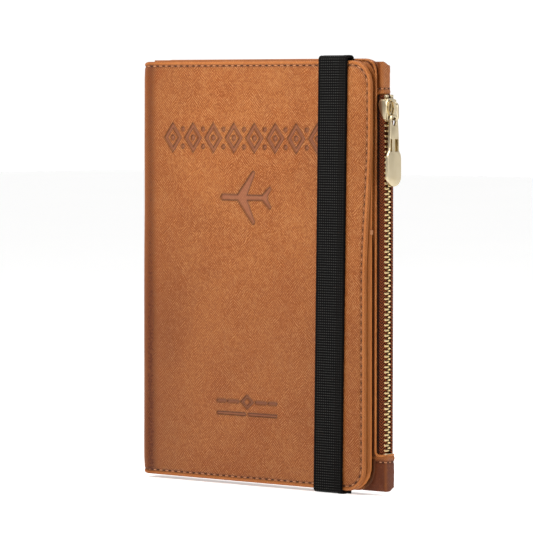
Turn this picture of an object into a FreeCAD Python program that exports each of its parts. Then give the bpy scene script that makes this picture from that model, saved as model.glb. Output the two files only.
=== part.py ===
import FreeCAD, Part
import math
import os
import Sketcher

# Local frame while building: X from the spine's outer face to the fore edge, Y from the front
# to the rear about the middle of the stack, Z up from the rear cover's bottom edge.
# Every finished piece is then placed so that the row's origin is at the box's bottom centre.

SIZES = {
    # whole organizer
    "cover_width": 104.5,
    "cover_height": 145.0,
    "stack_depth": 8.2,
    "front_step": 0.7,
    "front_lift": 0.1,
    "corner_radius": 8.0,
    "rear_overhang": 2.5,
    # sheet goods
    "leather": 0.8,
    "board": 0.3,
    "lining": 0.25,
    "panel": 0.4,
    "layer_gap": 0.05,
    "side_pocket_gap": 0.1,
    "half_gap": 0.15,
    "fold_gap": 0.3,
    "fold_margin": 1.2,
    # insets of the inner layers from the cover's edges
    "board_inset": 1.2,
    "lining_inset": 0.3,
    "pocket_inset": 0.5,
    # seams
    "seam_inset": 2.3,
    "thread_width": 0.45,
    "thread_depth": 0.3,
    "groove_side": 0.05,
    "bartack_level": 87.8,
    "bartack_length": 1.6,
    "bartack_size": 0.6,
    # card slots and passport sleeve
    "slot_width": 90.0,
    "slot_left": 8.0,
    "slot_step": 13.0,
    "slot_first_mouth": 122.0,
    "slot_last_depth": 52.0,
    "slot_gap": 0.4,
    "sleeve_left": 8.0,
    "sleeve_width": 93.0,
    "sleeve_low": 4.0,
    "sleeve_top": 119.0,
    # elastic band
    "band_width": 12.3,
    "band_thickness": 1.0,
    "band_edge": 10.3,
    "band_gap": 0.1,
    "band_tail": 9.5,
    "band_tail_thickness": 0.25,
    # pouch and zip
    "tab_height": 12.0,
    "tab_reach": 4.4,
    "pouch_wall": 0.9,
    "cutout_edge": 0.1,
    "tape": 0.35,
    "tape_tuck": 6.5,
    "tape_reach": 3.1,
    "tape_clearance": 0.15,
    "teeth_half_width": 1.95,
    "teeth_rail": 0.6,
    "teeth_gap": 1.0,
    "teeth_thickness": 1.2,
    "tooth_pitch": 1.75,
    "tooth_height": 1.0,
    "stop_height": 1.0,
    "stop_clearance": 0.15,
    # slider and pull tab
    "slider_width": 5.6,
    "slider_length": 7.5,
    "slider_plate": 0.7,
    "slider_lip": 0.4,
    "slider_lip_reach": 1.1,
    "slider_clearance": 0.15,
    "slider_web": 0.5,
    "slider_inner_width": 1.8,
    "slider_inner_plate": 1.0,
    "crown_width": 1.2,
    "crown_length": 6.5,
    "crown_leg": 0.9,
    "crown_space": 1.35,
    "crown_bridge": 0.7,
    "puller_thickness": 1.0,
    "puller_length": 24.0,
    "puller_head_width": 4.4,
    "puller_hole_width": 2.0,
    "puller_hole_length": 3.6,
    "paddle_width": 7.0,
    "paddle_length": 11.2,
    "window_bar": 1.0,
    "window_length": 3.4,
    "window_side": 0.6,
}

doc = FreeCAD.newDocument("travel_document_organizer")
sheet = doc.addObject("Spreadsheet::Sheet", "sizes")
for row, (alias, value) in enumerate(SIZES.items(), 1):
    sheet.set(f"A{row}", alias)
    sheet.set(f"B{row}", str(value))
    sheet.setAlias(f"B{row}", alias)
doc.recompute()


def size(alias):
    return f"sizes.{alias}"


def add(*terms):
    return "(" + " + ".join(terms) + ")"


def less(first, *others):
    return "(" + " - ".join((first,) + others) + ")"


def half(term):
    return f"({term} / 2)"


def number(expression):
    # Plain value of an expression, used to start a sketch near its solution.
    found = sheet.evalExpression(expression)
    return float(getattr(found, "Value", found))


# Levels in Y, from the front face to the rear face.
FRONT = f"(-{size('stack_depth')} / 2)"
FRONT_BOARD = add(FRONT, size("leather"), size("layer_gap"))
FRONT_LINING = add(FRONT_BOARD, size("board"), size("layer_gap"))
SIDE_PANEL = add(FRONT_LINING, size("lining"), size("side_pocket_gap"))
CARD_LAYER = add(SIDE_PANEL, size("panel"), size("layer_gap"))
FRONT_HALF_END = add(CARD_LAYER, size("panel"))
SLEEVE = add(FRONT_HALF_END, size("half_gap"))
BAND_TAIL = add(SLEEVE, size("panel"), size("layer_gap"))
POUCH_FRONT = add(BAND_TAIL, size("band_tail_thickness"), size("layer_gap"))
POUCH_INSIDE = add(POUCH_FRONT, size("leather"), size("layer_gap"))
REAR = half(size("stack_depth"))
REAR_LEATHER = less(REAR, size("leather"))
REAR_TAPE = less(REAR_LEATHER, size("layer_gap"), size("tape"))
REAR_BOARD = less(REAR_LEATHER, size("layer_gap"), size("board"))
REAR_LINING = less(REAR_BOARD, size("layer_gap"), size("lining"))
ZIP_MIDDLE = half(add(POUCH_FRONT, REAR))

# Levels in X, from the spine to the fore edge and the zip beyond it.
COVER_START = add(size("leather"), size("fold_gap"))
INNER_START = add(COVER_START, size("fold_margin"))
FORE = size("cover_width")
REAR_FORE = add(FORE, size("rear_overhang"))
TAPE_OUT = add(FORE, size("tape_reach"))
TAPE_IN = less(TAPE_OUT, size("tape"))
TAPE_TUCK_START = less(FORE, size("tape_tuck"))
LINING_END = less(TAPE_TUCK_START, size("half_gap"))
TEETH_START = add(TAPE_OUT, size("layer_gap"))
TEETH_END = add(TEETH_START, size("teeth_thickness"))
SLIDER_FACE = add(TEETH_END, size("slider_clearance"))
CROWN_START = add(SLIDER_FACE, size("slider_plate"))
CROWN_TOP = add(CROWN_START, size("crown_space"))
CROWN_END = add(CROWN_TOP, size("crown_bridge"))
PULLER_AXIS_X = add(CROWN_START, half(size("crown_space")))
BAND_RIGHT = less(FORE, size("band_edge"))
BAND_LEFT = less(BAND_RIGHT, size("band_width"))

# Levels in Z.
REAR_TOP = size("cover_height")
FRONT_BOTTOM = size("front_lift")
FRONT_TOP = less(REAR_TOP, size("front_step"))
CUTOUT_BOTTOM = size("tab_height")
CUTOUT_TOP = less(REAR_TOP, size("tab_height"))
TAPE_BOTTOM = add(CUTOUT_BOTTOM, size("tape_clearance"))
TAPE_TOP = less(CUTOUT_TOP, size("tape_clearance"))
STOP_TOP = less(TAPE_TOP, size("stop_height"))
TEETH_BOTTOM = add(TAPE_BOTTOM, size("stop_height"), size("stop_clearance"))
TEETH_TOP = less(STOP_TOP, size("stop_clearance"))
SLIDER_TOP = TEETH_TOP
SLIDER_BOTTOM = less(SLIDER_TOP, size("slider_length"))
PULLER_AXIS_Z = add(SLIDER_BOTTOM, size("crown_leg"), half(size("crown_space")))
PULLER_TOP = add(PULLER_AXIS_Z, half(size("puller_thickness")))
PULLER_BOTTOM = less(PULLER_TOP, size("puller_length"))
BAND_TOP = add(REAR_TOP, size("band_gap"))
BAND_CREST = add(BAND_TOP, size("band_thickness"))
BAND_FOOT = f"(-{size('band_gap')} - {size('band_thickness')})"
BAND_INSIDE = less(FRONT, size("band_gap"))
BAND_FRONT = less(BAND_INSIDE, size("band_thickness"))

# Row origin: bottom centre of the whole box. The pull tab reaches furthest to the rear and
# the band furthest to the front; the crown reaches furthest past the fore edge.
BOX_REAR = add(ZIP_MIDDLE, half(size("paddle_width")))
ORIGIN = (half(CROWN_END), half(add(BAND_FRONT, BOX_REAR)), BAND_FOOT)

nodes = []


def bind(target, **expressions):
    for name, expression in expressions.items():
        target.setExpression(name, expression)


def set_position(target, spot):
    for axis, expression in zip("xyz", spot):
        target.setExpression(f"Placement.Base.{axis}", expression)


def finish(target, label):
    # Moves a piece from the local frame to the row's frame and notes it for writing out.
    target.Label = label
    set_position(target, [f"-{middle}" for middle in ORIGIN])
    nodes.append(target)
    return target


def block(name, x, y, z):
    # A box between two levels on each axis, in the local frame.
    box = doc.addObject("Part::Box", name)
    bind(box, Length=less(x[1], x[0]), Width=less(y[1], y[0]), Height=less(z[1], z[0]))
    set_position(box, (x[0], y[0], z[0]))
    return box


def plate(label, x, y, z):
    # A one-box piece, placed straight in the row's frame.
    box = block(label, x, y, z)
    box.Label = label
    set_position(box, [less(low, middle) for low, middle in zip((x[0], y[0], z[0]), ORIGIN)])
    nodes.append(box)
    return box


def fused(name, shapes):
    joined = doc.addObject("Part::MultiFuse", name)
    joined.Shapes = shapes
    joined.Refine = True
    return joined


def cut(name, base, tool):
    rest = doc.addObject("Part::Cut", name)
    rest.Base = base
    rest.Tool = tool
    rest.Refine = True
    return rest


def new_body(label):
    body = doc.addObject("PartDesign::Body", label)
    body.Label = label
    return body


def plane(body, role):
    for feature in body.Origin.OriginFeatures:
        if feature.Role == role:
            return feature
    raise ValueError(role)


def new_sketch(body, name, role, depth=None):
    sketch = body.newObject("Sketcher::SketchObject", name)
    sketch.AttachmentSupport = [(plane(body, role), "")]
    sketch.MapMode = "FlatFace"
    if depth is not None:
        sketch.setExpression("AttachmentOffset.Base.z", depth)
    return sketch


def arc_between(start, end, radius):
    # Quarter turn from start to end: counter-clockwise for a positive radius.
    chord = end - start
    reach = math.sqrt(max(radius * radius - chord.Length ** 2 / 4, 0.0))
    side = FreeCAD.Vector(-chord.y, chord.x, 0).normalize()
    centre = (start + end) / 2 + side * math.copysign(reach, radius)
    first, last = (start, end) if radius > 0 else (end, start)
    angles = [math.atan2(spot.y - centre.y, spot.x - centre.x) for spot in (first, last)]
    if angles[1] < angles[0]:
        angles[1] += 2 * math.pi
    circle = Part.Circle(centre, FreeCAD.Vector(0, 0, 1), abs(radius))
    return Part.ArcOfCircle(circle, angles[0], angles[1])


def outline(sketch, corners, bends=None):
    # Closed outline through corners (pairs of expressions). bends gives the radius of the arc
    # that leaves a corner, negative where the arc turns clockwise; other sides are straight.
    bends = bends or {}
    spots = [FreeCAD.Vector(number(x), number(y), 0) for x, y in corners]
    ends = []
    for index, start in enumerate(spots):
        end = spots[(index + 1) % len(spots)]
        if index in bends:
            radius = number(bends[index])
            side = sketch.addGeometry(arc_between(start, end, radius), False)
            ends.append((side, 1, 2) if radius > 0 else (side, 2, 1))
        else:
            side = sketch.addGeometry(Part.LineSegment(start, end), False)
            ends.append((side, 1, 2))
    for index, (side, first, last) in enumerate(ends):
        after, after_first, _ = ends[(index + 1) % len(ends)]
        sketch.addConstraint(Sketcher.Constraint("Coincident", side, last, after, after_first))
        for kind, expression in zip(("DistanceX", "DistanceY"), corners[index]):
            limit = Sketcher.Constraint(kind, -1, 1, side, first, number(expression))
            sketch.setExpression(f"Constraints[{sketch.addConstraint(limit)}]", expression)
        if index in bends:
            turn = Sketcher.Constraint("Radius", side, abs(number(bends[index])))
            place = sketch.addConstraint(turn)
            sketch.setExpression(f"Constraints[{place}]", f"abs({bends[index]})")


def rectangle(sketch, x, y):
    outline(sketch, [(x[0], y[0]), (x[1], y[0]), (x[1], y[1]), (x[0], y[1])])


def pad(body, sketch, length, reverse=False):
    feature = body.newObject("PartDesign::Pad", f"{sketch.Name}_pad")
    feature.Profile = sketch
    feature.Reversed = reverse
    bind(feature, Length=length)
    body.Tip = feature
    doc.recompute()
    return feature


def pocket(body, sketch, length, reverse=False):
    before = body.Shape.Volume
    feature = body.newObject("PartDesign::Pocket", f"{sketch.Name}_pocket")
    feature.Profile = sketch
    feature.Reversed = reverse
    bind(feature, Length=length)
    body.Tip = feature
    doc.recompute()
    if body.Shape.Volume >= before:
        raise ValueError(f"{sketch.Name} took nothing away")
    return feature


def page_corners(x, z, radius):
    # Page outline seen in X and Z, with its two fore-edge corners rounded.
    corners = [
        (x[0], z[0]), (less(x[1], radius), z[0]), (x[1], add(z[0], radius)),
        (x[1], less(z[1], radius)), (less(x[1], radius), z[1]), (x[0], z[1]),
    ]
    return corners, {1: radius, 3: radius}


def seam_corners(x, z, radius, width):
    # A ribbon of one width along the page's bottom, fore edge and top.
    inner = less(x[1], width)
    corners = [
        (x[0], z[0]), (less(x[1], radius), z[0]), (x[1], add(z[0], radius)),
        (x[1], less(z[1], radius)), (less(x[1], radius), z[1]), (x[0], z[1]),
        (x[0], less(z[1], width)), (less(x[1], radius), less(z[1], width)),
        (inner, less(z[1], radius)), (inner, add(z[0], radius)),
        (less(x[1], radius), add(z[0], width)), (x[0], add(z[0], width)),
    ]
    bend = less(radius, width)
    return corners, {1: radius, 3: radius, 7: f"(-{bend})", 9: f"(-{bend})"}


def page(label, x, front, thickness, z, radius):
    # A sheet with rounded fore-edge corners. Its body's own Y starts at the sheet's front.
    body = new_body(label)
    sketch = new_sketch(body, f"{label}_outline", "XZ_Plane", f"-{front}")
    outline(sketch, *page_corners(x, z, radius))
    pad(body, sketch, thickness, True)
    return finish(body, label)


def seam_line(x, z, side):
    # Where the thread runs on a page; side widens it on both sides for the thread's groove.
    inset = less(size("seam_inset"), side)
    radius = add(less(size("corner_radius"), size("seam_inset")), side)
    levels = (add(z[0], inset), less(z[1], inset))
    span = (add(x[0], size("seam_inset")), less(x[1], inset))
    return seam_corners(span, levels, radius, add(size("thread_width"), side, side))


def thread(label, x, z, front, depth):
    # A seam's thread, lying flush in its groove.
    body = new_body(label)
    sketch = new_sketch(body, f"{label}_run", "XZ_Plane", f"-{front}")
    outline(sketch, *seam_line(x, z, "0"))
    pad(body, sketch, depth, True)
    return finish(body, label)


def cut_groove(body, label, x, z, level, depth, reverse):
    sketch = new_sketch(body, f"{label}_groove", "XZ_Plane", f"-{level}")
    outline(sketch, *seam_line(x, z, size("groove_side")))
    pocket(body, sketch, depth, reverse)


def make_front_cover():
    x = (COVER_START, FORE)
    z = (FRONT_BOTTOM, FRONT_TOP)
    depth = add(size("thread_depth"), size("groove_side"))
    leather = page("front_cover_leather", x, FRONT, size("leather"), z, size("corner_radius"))
    cut_groove(leather, "front_cover_leather", x, z, FRONT, depth, False)
    thread("front_cover_thread", x, z, FRONT, size("thread_depth"))
    for label, level, thickness, inset in (
        ("front_cover_board", FRONT_BOARD, "board", "board_inset"),
        ("front_cover_lining", FRONT_LINING, "lining", "lining_inset"),
        ("side_pocket_panel", SIDE_PANEL, "panel", "pocket_inset"),
    ):
        gap = size(inset)
        radius = less(size("corner_radius"), gap)
        span = (INNER_START, less(FORE, gap))
        levels = (add(FRONT_BOTTOM, gap), less(FRONT_TOP, gap))
        page(label, span, level, size(thickness), levels, radius)


def make_card_slots():
    # Each face is kept down to the next slot's mouth, so the layers stay flat and apart.
    x = (size("slot_left"), add(size("slot_left"), size("slot_width")))
    y = (CARD_LAYER, FRONT_HALF_END)
    for index in range(4):
        mouth = less(size("slot_first_mouth"), f"{index} * {size('slot_step')}")
        depth = less(size("slot_step"), size("slot_gap")) if index < 3 else size("slot_last_depth")
        plate(f"card_slot_{index + 1}", x, y, (less(mouth, depth), mouth))


def make_bartack():
    x = less(FORE, size("lining_inset"))
    start = add(x, size("layer_gap"))
    y = (less(SIDE_PANEL, size("lining")), add(SIDE_PANEL, size("lining")))
    z = (less(size("bartack_level"), size("bartack_length")), size("bartack_level"))
    plate("side_seam_bartack", (start, add(start, size("bartack_size"))), y, z)


def make_spine():
    # The leather's two edges are round about the fold lines, so it clears both covers as it turns.
    bead = half(size("leather"))
    z = (FRONT_BOTTOM, FRONT_TOP)
    low = add(FRONT, bead)
    high = less(REAR, bead)
    body = new_body("spine_leather")
    sketch = new_sketch(body, "spine_leather_section", "XY_Plane", FRONT_BOTTOM)
    corners = [
        ("0", low), (bead, FRONT), (size("leather"), low),
        (size("leather"), high), (bead, REAR), ("0", high),
    ]
    outline(sketch, corners, {0: bead, 1: bead, 3: bead, 4: bead})
    pad(body, sketch, less(FRONT_TOP, FRONT_BOTTOM))
    finish(body, "spine_leather")
    start = add(size("leather"), size("layer_gap"))
    y = (add(FRONT, size("leather"), size("leather")), less(REAR, size("leather"), size("leather")))
    plate("spine_lining", (start, add(start, size("lining"))), y, z)


def make_rear_cover():
    x = (COVER_START, REAR_FORE)
    z = ("0", REAR_TOP)
    depth = add(size("thread_depth"), size("groove_side"))
    label = "rear_cover_leather"
    leather = page(label, x, REAR_LEATHER, size("leather"), z, size("corner_radius"))
    cut_groove(leather, label, x, z, REAR, depth, True)
    thread("rear_cover_thread", x, z, less(REAR, size("thread_depth")), size("thread_depth"))
    levels = (size("board_inset"), less(REAR_TOP, size("board_inset")))
    span = (add(INNER_START, size("board_inset")), LINING_END)
    for name, level, thickness in (
        ("rear_cover_board", REAR_BOARD, "board"),
        ("pouch_lining_rear", REAR_LINING, "lining"),
        ("pouch_lining_front", POUCH_INSIDE, "lining"),
    ):
        plate(name, span, (level, add(level, size(thickness))), levels)


def make_pouch_front():
    # Front leather of the pouch: cut back along the zip between two tabs that turn round its ends.
    # Its turned edges close the pouch at the top, the bottom and the spine.
    label = "pouch_front_leather"
    edge = add(FORE, size("cutout_edge"))
    reach = add(FORE, size("tab_reach"))
    round_end = half(size("corner_radius"))
    body = new_body(label)
    sketch = new_sketch(body, f"{label}_outline", "XZ_Plane", f"-{POUCH_FRONT}")
    corners = [
        (INNER_START, "0"), (less(reach, round_end), "0"), (reach, round_end),
        (reach, CUTOUT_BOTTOM), (edge, CUTOUT_BOTTOM), (edge, CUTOUT_TOP), (reach, CUTOUT_TOP),
        (reach, less(REAR_TOP, round_end)), (less(reach, round_end), REAR_TOP),
        (INNER_START, REAR_TOP),
    ]
    outline(sketch, corners, {1: round_end, 7: round_end})
    pad(body, sketch, size("leather"), True)
    wall = size("pouch_wall")
    tab = (less(reach, wall), reach)
    along = (INNER_START, less(reach, round_end))
    full = less(REAR, POUCH_FRONT)
    closed = less(REAR_LEATHER, size("layer_gap"), POUCH_FRONT)
    for end, x, z, depth in (
        ("tab_low", tab, (round_end, CUTOUT_BOTTOM), full),
        ("tab_high", tab, (CUTOUT_TOP, less(REAR_TOP, round_end)), full),
        ("foot", along, ("0", wall), closed),
        ("head", along, (less(REAR_TOP, wall), REAR_TOP), closed),
        ("spine", (INNER_START, add(INNER_START, wall)), ("0", REAR_TOP), closed),
    ):
        side = new_sketch(body, f"{label}_{end}", "XZ_Plane", f"-{POUCH_FRONT}")
        rectangle(side, x, z)
        pad(body, side, depth, True)
    finish(body, label)
    y = (less(POUCH_FRONT, half(size("thread_depth"))), POUCH_FRONT)
    x = (add(FORE, size("thread_width")), less(reach, size("thread_width")))
    inset = size("seam_inset")
    for end, level in (("top", add(CUTOUT_TOP, inset)), ("bottom", less(CUTOUT_BOTTOM, inset))):
        plate(f"tab_thread_{end}", x, y, (less(level, size("thread_width")), level))


def make_passport_sleeve():
    x = (size("sleeve_left"), add(size("sleeve_left"), size("sleeve_width")))
    y = (SLEEVE, add(SLEEVE, size("panel")))
    plate("passport_sleeve", x, y, (size("sleeve_low"), size("sleeve_top")))


def make_band():
    # The loop stands clear of the covers; its two ends are sewn in behind the passport sleeve.
    x = (BAND_LEFT, BAND_RIGHT)
    y = (BAND_FRONT, BAND_TAIL)
    outer = block("band_outer", x, y, (BAND_FOOT, BAND_CREST))
    hollow = (BAND_INSIDE, add(BAND_TAIL, size("band_thickness")))
    inner = block("band_inner", x, hollow, (f"(-{size('band_gap')})", BAND_TOP))
    finish(cut("elastic_band", outer, inner), "elastic_band")
    tail = (BAND_TAIL, add(BAND_TAIL, size("band_tail_thickness")))
    plate("band_end_top", x, tail, (less(REAR_TOP, size("band_tail")), BAND_CREST))
    plate("band_end_bottom", x, tail, (BAND_FOOT, size("band_tail")))


def make_zip_tapes():
    tuck = (TAPE_TUCK_START, TAPE_OUT)
    z = (TAPE_BOTTOM, TAPE_TOP)
    inner_front = less(ZIP_MIDDLE, half(size("teeth_gap")))
    inner_rear = add(ZIP_MIDDLE, half(size("teeth_gap")))
    fold = add(POUCH_FRONT, half(size("leather")))
    step = add(FORE, size("cutout_edge"), size("tape_clearance"))
    step_end = add(step, size("tape"))
    behind = add(POUCH_INSIDE, size("tape"))
    length = less(TAPE_TOP, TAPE_BOTTOM)

    front = new_body("zip_tape_front")
    section = new_sketch(front, "zip_tape_front_section", "XY_Plane", TAPE_BOTTOM)
    outline(section, [
        (step, fold), (TAPE_OUT, fold), (TAPE_OUT, inner_front), (TAPE_IN, inner_front),
        (TAPE_IN, add(fold, size("tape"))), (step_end, add(fold, size("tape"))),
        (step_end, behind), (TAPE_TUCK_START, behind), (TAPE_TUCK_START, POUCH_INSIDE),
        (step, POUCH_INSIDE),
    ])
    pad(front, section, length)
    finish(front, "zip_tape_front")

    leg = block("tape_rear_leg", tuck, (REAR_TAPE, add(REAR_TAPE, size("tape"))), z)
    edge = less(add(ZIP_MIDDLE, size("teeth_half_width")), size("layer_gap"))
    flange = block("tape_rear_flange", (TAPE_IN, TAPE_OUT), (inner_rear, edge), z)
    finish(fused("zip_tape_rear", [leg, flange]), "zip_tape_rear")


def make_teeth(label, outer, rail, inner):
    # One row: a rail along the tape's edge and the teeth that stand from it towards the middle.
    x = (TEETH_START, TEETH_END)
    body = new_body(label)
    base = new_sketch(body, f"{label}_rail", "XY_Plane", TEETH_BOTTOM)
    rectangle(base, x, (outer, rail) if number(outer) < number(rail) else (rail, outer))
    pad(body, base, less(TEETH_TOP, TEETH_BOTTOM))
    tooth = new_sketch(body, f"{label}_tooth", "XY_Plane", TEETH_BOTTOM)
    rectangle(tooth, x, (outer, inner) if number(outer) < number(inner) else (inner, outer))
    first = pad(body, tooth, size("tooth_height"))
    row = body.newObject("PartDesign::LinearPattern", f"{label}_row")
    row.Originals = [first]
    row.Direction = (plane(body, "Z_Axis"), [""])
    row.Mode = "Spacing"
    length = less(TEETH_TOP, TEETH_BOTTOM)
    count = f"floor({less(length, size('tooth_height'))} / {size('tooth_pitch')}) + 1"
    bind(row, Offset=size("tooth_pitch"), Occurrences=count)
    body.Tip = row
    doc.recompute()
    finish(body, label)


def make_zip_rows():
    gap = half(size("teeth_gap"))
    front = less(ZIP_MIDDLE, size("teeth_half_width"))
    rear = add(ZIP_MIDDLE, size("teeth_half_width"))
    inner_front = less(ZIP_MIDDLE, gap)
    inner_rear = add(ZIP_MIDDLE, gap)
    make_teeth("zip_teeth_front", front, add(front, size("teeth_rail")), inner_front)
    make_teeth("zip_teeth_rear", rear, less(rear, size("teeth_rail")), inner_rear)
    x = (TEETH_START, TEETH_END)
    z = (STOP_TOP, TAPE_TOP)
    plate("zip_top_stop_front", x, (front, inner_front), z)
    plate("zip_top_stop_rear", x, (inner_rear, rear), z)
    plate("zip_bottom_stop", x, (front, rear), (TAPE_BOTTOM, add(TAPE_BOTTOM, size("stop_height"))))


def make_slider():
    z = (SLIDER_BOTTOM, SLIDER_TOP)
    low = less(ZIP_MIDDLE, half(size("slider_width")))
    high = add(ZIP_MIDDLE, half(size("slider_width")))
    lip = (less(SLIDER_FACE, size("slider_lip_reach")), CROWN_START)
    inner = less(TAPE_IN, size("fold_gap"))
    web = half(size("slider_web"))
    narrow = half(size("slider_inner_width"))
    parts = [
        block("slider_plate", (SLIDER_FACE, CROWN_START), (low, high), z),
        block("slider_lip_front", lip, (low, add(low, size("slider_lip"))), z),
        block("slider_lip_rear", lip, (less(high, size("slider_lip")), high), z),
        block("slider_web", (less(inner, size("slider_inner_plate")), CROWN_START),
              (less(ZIP_MIDDLE, web), add(ZIP_MIDDLE, web)), z),
        block("slider_inner", (less(inner, size("slider_inner_plate")), inner),
              (less(ZIP_MIDDLE, narrow), add(ZIP_MIDDLE, narrow)), z),
    ]
    finish(fused("slider_body", parts), "slider_body")
    wide = half(size("crown_width"))
    y = (less(ZIP_MIDDLE, wide), add(ZIP_MIDDLE, wide))
    top = add(SLIDER_BOTTOM, size("crown_length"))
    outer = block("crown_outer", (CROWN_START, CROWN_END), y, (SLIDER_BOTTOM, top))
    space = (add(SLIDER_BOTTOM, size("crown_leg")), less(top, size("crown_leg")))
    inner_space = block("crown_inner", (CROWN_START, CROWN_TOP), y, space)
    finish(cut("slider_crown", outer, inner_space), "slider_crown")


def round_bar(name, radius, length, x, y, z, turn):
    # A cylinder turned from Z to the row's X or Y, given the corner it starts from.
    bar = doc.addObject("Part::Cylinder", name)
    bind(bar, Radius=radius, Height=length)
    bar.Placement = FreeCAD.Placement(FreeCAD.Vector(), turn)
    set_position(bar, (x, y, z))
    return bar


def make_puller():
    # Hangs from the crown by a round bar; the paddle is a stadium below two window slots.
    thick = half(size("puller_thickness"))
    x = (less(PULLER_AXIS_X, thick), add(PULLER_AXIS_X, thick))
    head = half(size("puller_head_width"))
    hole = half(size("puller_hole_width"))
    round_end = half(size("paddle_width"))
    hole_end = less(PULLER_AXIS_Z, size("puller_hole_length"))
    paddle_top = add(PULLER_BOTTOM, size("paddle_length"))
    along_y = FreeCAD.Rotation(FreeCAD.Vector(1, 0, 0), -90)
    along_x = FreeCAD.Rotation(FreeCAD.Vector(0, 1, 0), 90)
    low = less(ZIP_MIDDLE, head)
    high = add(ZIP_MIDDLE, head)
    sides = (less(ZIP_MIDDLE, round_end), add(ZIP_MIDDLE, round_end))
    discs = (add(PULLER_BOTTOM, round_end), less(paddle_top, round_end))
    parts = [
        round_bar("puller_bar", thick, size("puller_head_width"),
                  PULLER_AXIS_X, low, PULLER_AXIS_Z, along_y),
        block("puller_side_front", x, (low, less(ZIP_MIDDLE, hole)), (hole_end, PULLER_AXIS_Z)),
        block("puller_side_rear", x, (add(ZIP_MIDDLE, hole), high), (hole_end, PULLER_AXIS_Z)),
        block("puller_strip", x, (low, high), (discs[1], hole_end)),
        block("puller_paddle", x, sides, discs),
        round_bar("paddle_low", round_end, size("puller_thickness"),
                  x[0], ZIP_MIDDLE, discs[0], along_x),
        round_bar("paddle_high", round_end, size("puller_thickness"),
                  x[0], ZIP_MIDDLE, discs[1], along_x),
    ]
    whole = fused("puller_whole", parts)
    bar = half(size("window_bar"))
    z = (add(paddle_top, size("layer_gap")), add(paddle_top, size("window_length")))
    through = (less(x[0], thick), add(x[1], thick))
    front = (add(low, size("window_side")), less(ZIP_MIDDLE, bar))
    rear = (add(ZIP_MIDDLE, bar), less(high, size("window_side")))
    slots = fused("puller_windows", [
        block("window_front", through, front, z),
        block("window_rear", through, rear, z),
    ])
    finish(cut("zip_puller", whole, slots), "zip_puller")


make_front_cover()
make_card_slots()
make_bartack()
make_spine()
make_rear_cover()
make_pouch_front()
make_passport_sleeve()
make_band()
make_zip_tapes()
make_zip_rows()
make_slider()
make_puller()
doc.recompute()

for item in doc.Objects:
    for state in item.State:
        if state in ("Invalid", "Error"):
            raise RuntimeError(f"{item.Label} is {state}")
for node in nodes:
    if node.Shape.isNull() or not node.Shape.isValid() or len(node.Shape.Solids) != 1:
        raise RuntimeError(f"{node.Label} is not one valid solid")

os.makedirs("parts", exist_ok=True)
for node in nodes:
    node.Shape.exportStep(f"parts/{node.Label}.step")
print(f"{len(nodes)} parts written")
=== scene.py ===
import math
from functools import partial

import bmesh
import bpy
import numpy as np
from mathutils import Matrix, Vector, noise


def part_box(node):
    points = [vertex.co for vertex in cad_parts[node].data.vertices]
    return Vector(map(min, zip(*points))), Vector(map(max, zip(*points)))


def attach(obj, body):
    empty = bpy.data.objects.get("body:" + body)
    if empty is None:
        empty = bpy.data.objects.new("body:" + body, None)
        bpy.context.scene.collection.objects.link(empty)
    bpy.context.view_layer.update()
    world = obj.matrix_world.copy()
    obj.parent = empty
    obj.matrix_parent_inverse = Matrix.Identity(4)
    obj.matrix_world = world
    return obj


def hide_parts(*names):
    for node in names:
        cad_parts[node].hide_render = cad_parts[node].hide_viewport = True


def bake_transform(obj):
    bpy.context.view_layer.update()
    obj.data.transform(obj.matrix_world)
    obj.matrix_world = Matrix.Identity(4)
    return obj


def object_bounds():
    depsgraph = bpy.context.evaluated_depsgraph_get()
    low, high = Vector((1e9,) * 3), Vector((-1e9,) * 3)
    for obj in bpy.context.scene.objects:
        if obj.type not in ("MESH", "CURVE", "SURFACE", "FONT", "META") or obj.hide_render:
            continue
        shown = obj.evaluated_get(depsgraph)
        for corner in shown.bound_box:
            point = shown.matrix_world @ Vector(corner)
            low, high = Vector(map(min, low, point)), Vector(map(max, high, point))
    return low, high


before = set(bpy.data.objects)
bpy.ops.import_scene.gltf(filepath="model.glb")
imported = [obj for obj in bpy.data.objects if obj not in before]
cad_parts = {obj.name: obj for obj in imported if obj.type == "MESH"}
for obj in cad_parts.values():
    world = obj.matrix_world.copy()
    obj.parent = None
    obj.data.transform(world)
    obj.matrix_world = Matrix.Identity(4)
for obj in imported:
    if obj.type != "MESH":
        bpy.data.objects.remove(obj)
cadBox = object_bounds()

# Pieces are built in millimetres: x from the spine to the fore edge, y from the front to the
# rear about the middle of the stack, z up from the rear cover's foot. addPiece brings them home.
mm = 0.001
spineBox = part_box("spine_leather")
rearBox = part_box("rear_cover_leather")
home = Vector((spineBox[0].x, (spineBox[0].y + spineBox[1].y) / 2, rearBox[0].z))


def nodeSpan(node):
    low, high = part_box(node)
    return (low - home) / mm, (high - home) / mm


def ease(low, high, value):
    # 0 below low, 1 above high and smooth in between; low may be the larger
    t = np.clip((np.asarray(value, float) - low) / (high - low), 0, 1)
    return t * t * (3 - 2 * t)


def bell(value, middle, width):
    return np.exp(-((value - middle) / width) ** 2)


def colour(hexCode):
    # sRGB hex to linear
    parts = [int(hexCode[i:i + 2], 16) / 255 for i in (1, 3, 5)]
    return (*[c / 12.92 if c <= 0.04045 else ((c + 0.055) / 1.055) ** 2.4 for c in parts], 1.0)


def grey(value):
    return (value, value, value, 1.0)


def plug(tree, node, sockets):
    # a link for another node's output, or else a plain value
    for socket, value in sockets.items():
        if isinstance(value, bpy.types.NodeSocket):
            tree.links.new(value, node.inputs[socket])
        else:
            node.inputs[socket].default_value = value


def addNode(tree, kind, sockets, out=0, stops=(), **settings):
    # one node with its settings and links; gives back one output, or all when out is None
    node = tree.nodes.new("ShaderNode" + kind)
    for key, value in settings.items():
        setattr(node, key, value)
    for i, (position, tint) in enumerate(stops):
        node.color_ramp.elements[i].position = position
        node.color_ramp.elements[i].color = tint
    plug(tree, node, sockets)
    return node.outputs if out is None else node.outputs[out]


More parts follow.
